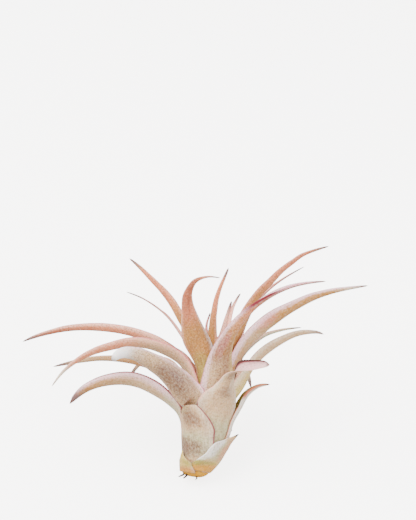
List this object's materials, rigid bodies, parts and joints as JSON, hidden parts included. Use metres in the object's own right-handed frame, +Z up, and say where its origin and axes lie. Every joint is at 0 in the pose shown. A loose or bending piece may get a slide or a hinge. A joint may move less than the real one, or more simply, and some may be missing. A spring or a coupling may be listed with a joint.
{
  "type": "air plant",
  "caption": "Air plant lying as picked: a rosette of channelled, arching silvery leaves with salmon inner leaves, their sheaths nested round a short bulb-like stem.",
  "frame": {"origin": "centre of the plant's bounding box in plan, on the surface that it rests on", "axes": "+Z up, +X across the plant's width to its right-hand leaves, +Y from the foot towards the crown"},
  "size_m": [0.1752, 0.1218, 0.1021],
  "materials": {
    "outer_leaf": "silvery scaled, matte",
    "inner_leaf": "salmon to golden, matte",
    "old_leaf": "dry grey-green, matte",
    "stem": "yellow-orange, matte",
    "root": "dark, dry"
  },
  "bodies": {
    "root": {"stem": "stem", "root_stub_left": "root", "root_stub_front": "root", "root_stub_right": "root", "old_sheath_flap": "old_leaf", "leaf_foot_right": "old_leaf", "leaf_torn_front": "old_leaf", "leaf_foot_back": "old_leaf", "leaf_right_short": "outer_leaf", "leaf_left_low": "outer_leaf", "leaf_front_right": "outer_leaf", "leaf_prop_left": "outer_leaf", "leaf_left_front": "outer_leaf", "leaf_prop_right": "outer_leaf", "leaf_right_low": "outer_leaf", "leaf_left_mid_back": "outer_leaf", "leaf_front_tall": "inner_leaf", "leaf_back_low": "outer_leaf", "leaf_left_mid": "outer_leaf", "leaf_right_back_thin": "outer_leaf", "leaf_left_long": "inner_leaf", "leaf_right_wide": "outer_leaf", "leaf_centre_front": "inner_leaf", "leaf_right_back_high": "inner_leaf", "leaf_left_back_thin": "outer_leaf", "leaf_right_high": "inner_leaf", "leaf_inner_back": "inner_leaf", "leaf_left_high": "inner_leaf", "leaf_inner_right_thin": "inner_leaf", "leaf_centre_upright": "inner_leaf", "leaf_inner_left_thin": "inner_leaf", "leaf_inner_front_thin": "inner_leaf", "leaf_core_left": "inner_leaf", "leaf_core_back": "inner_leaf", "leaf_core_right": "inner_leaf"}
  },
  "joints": []
}
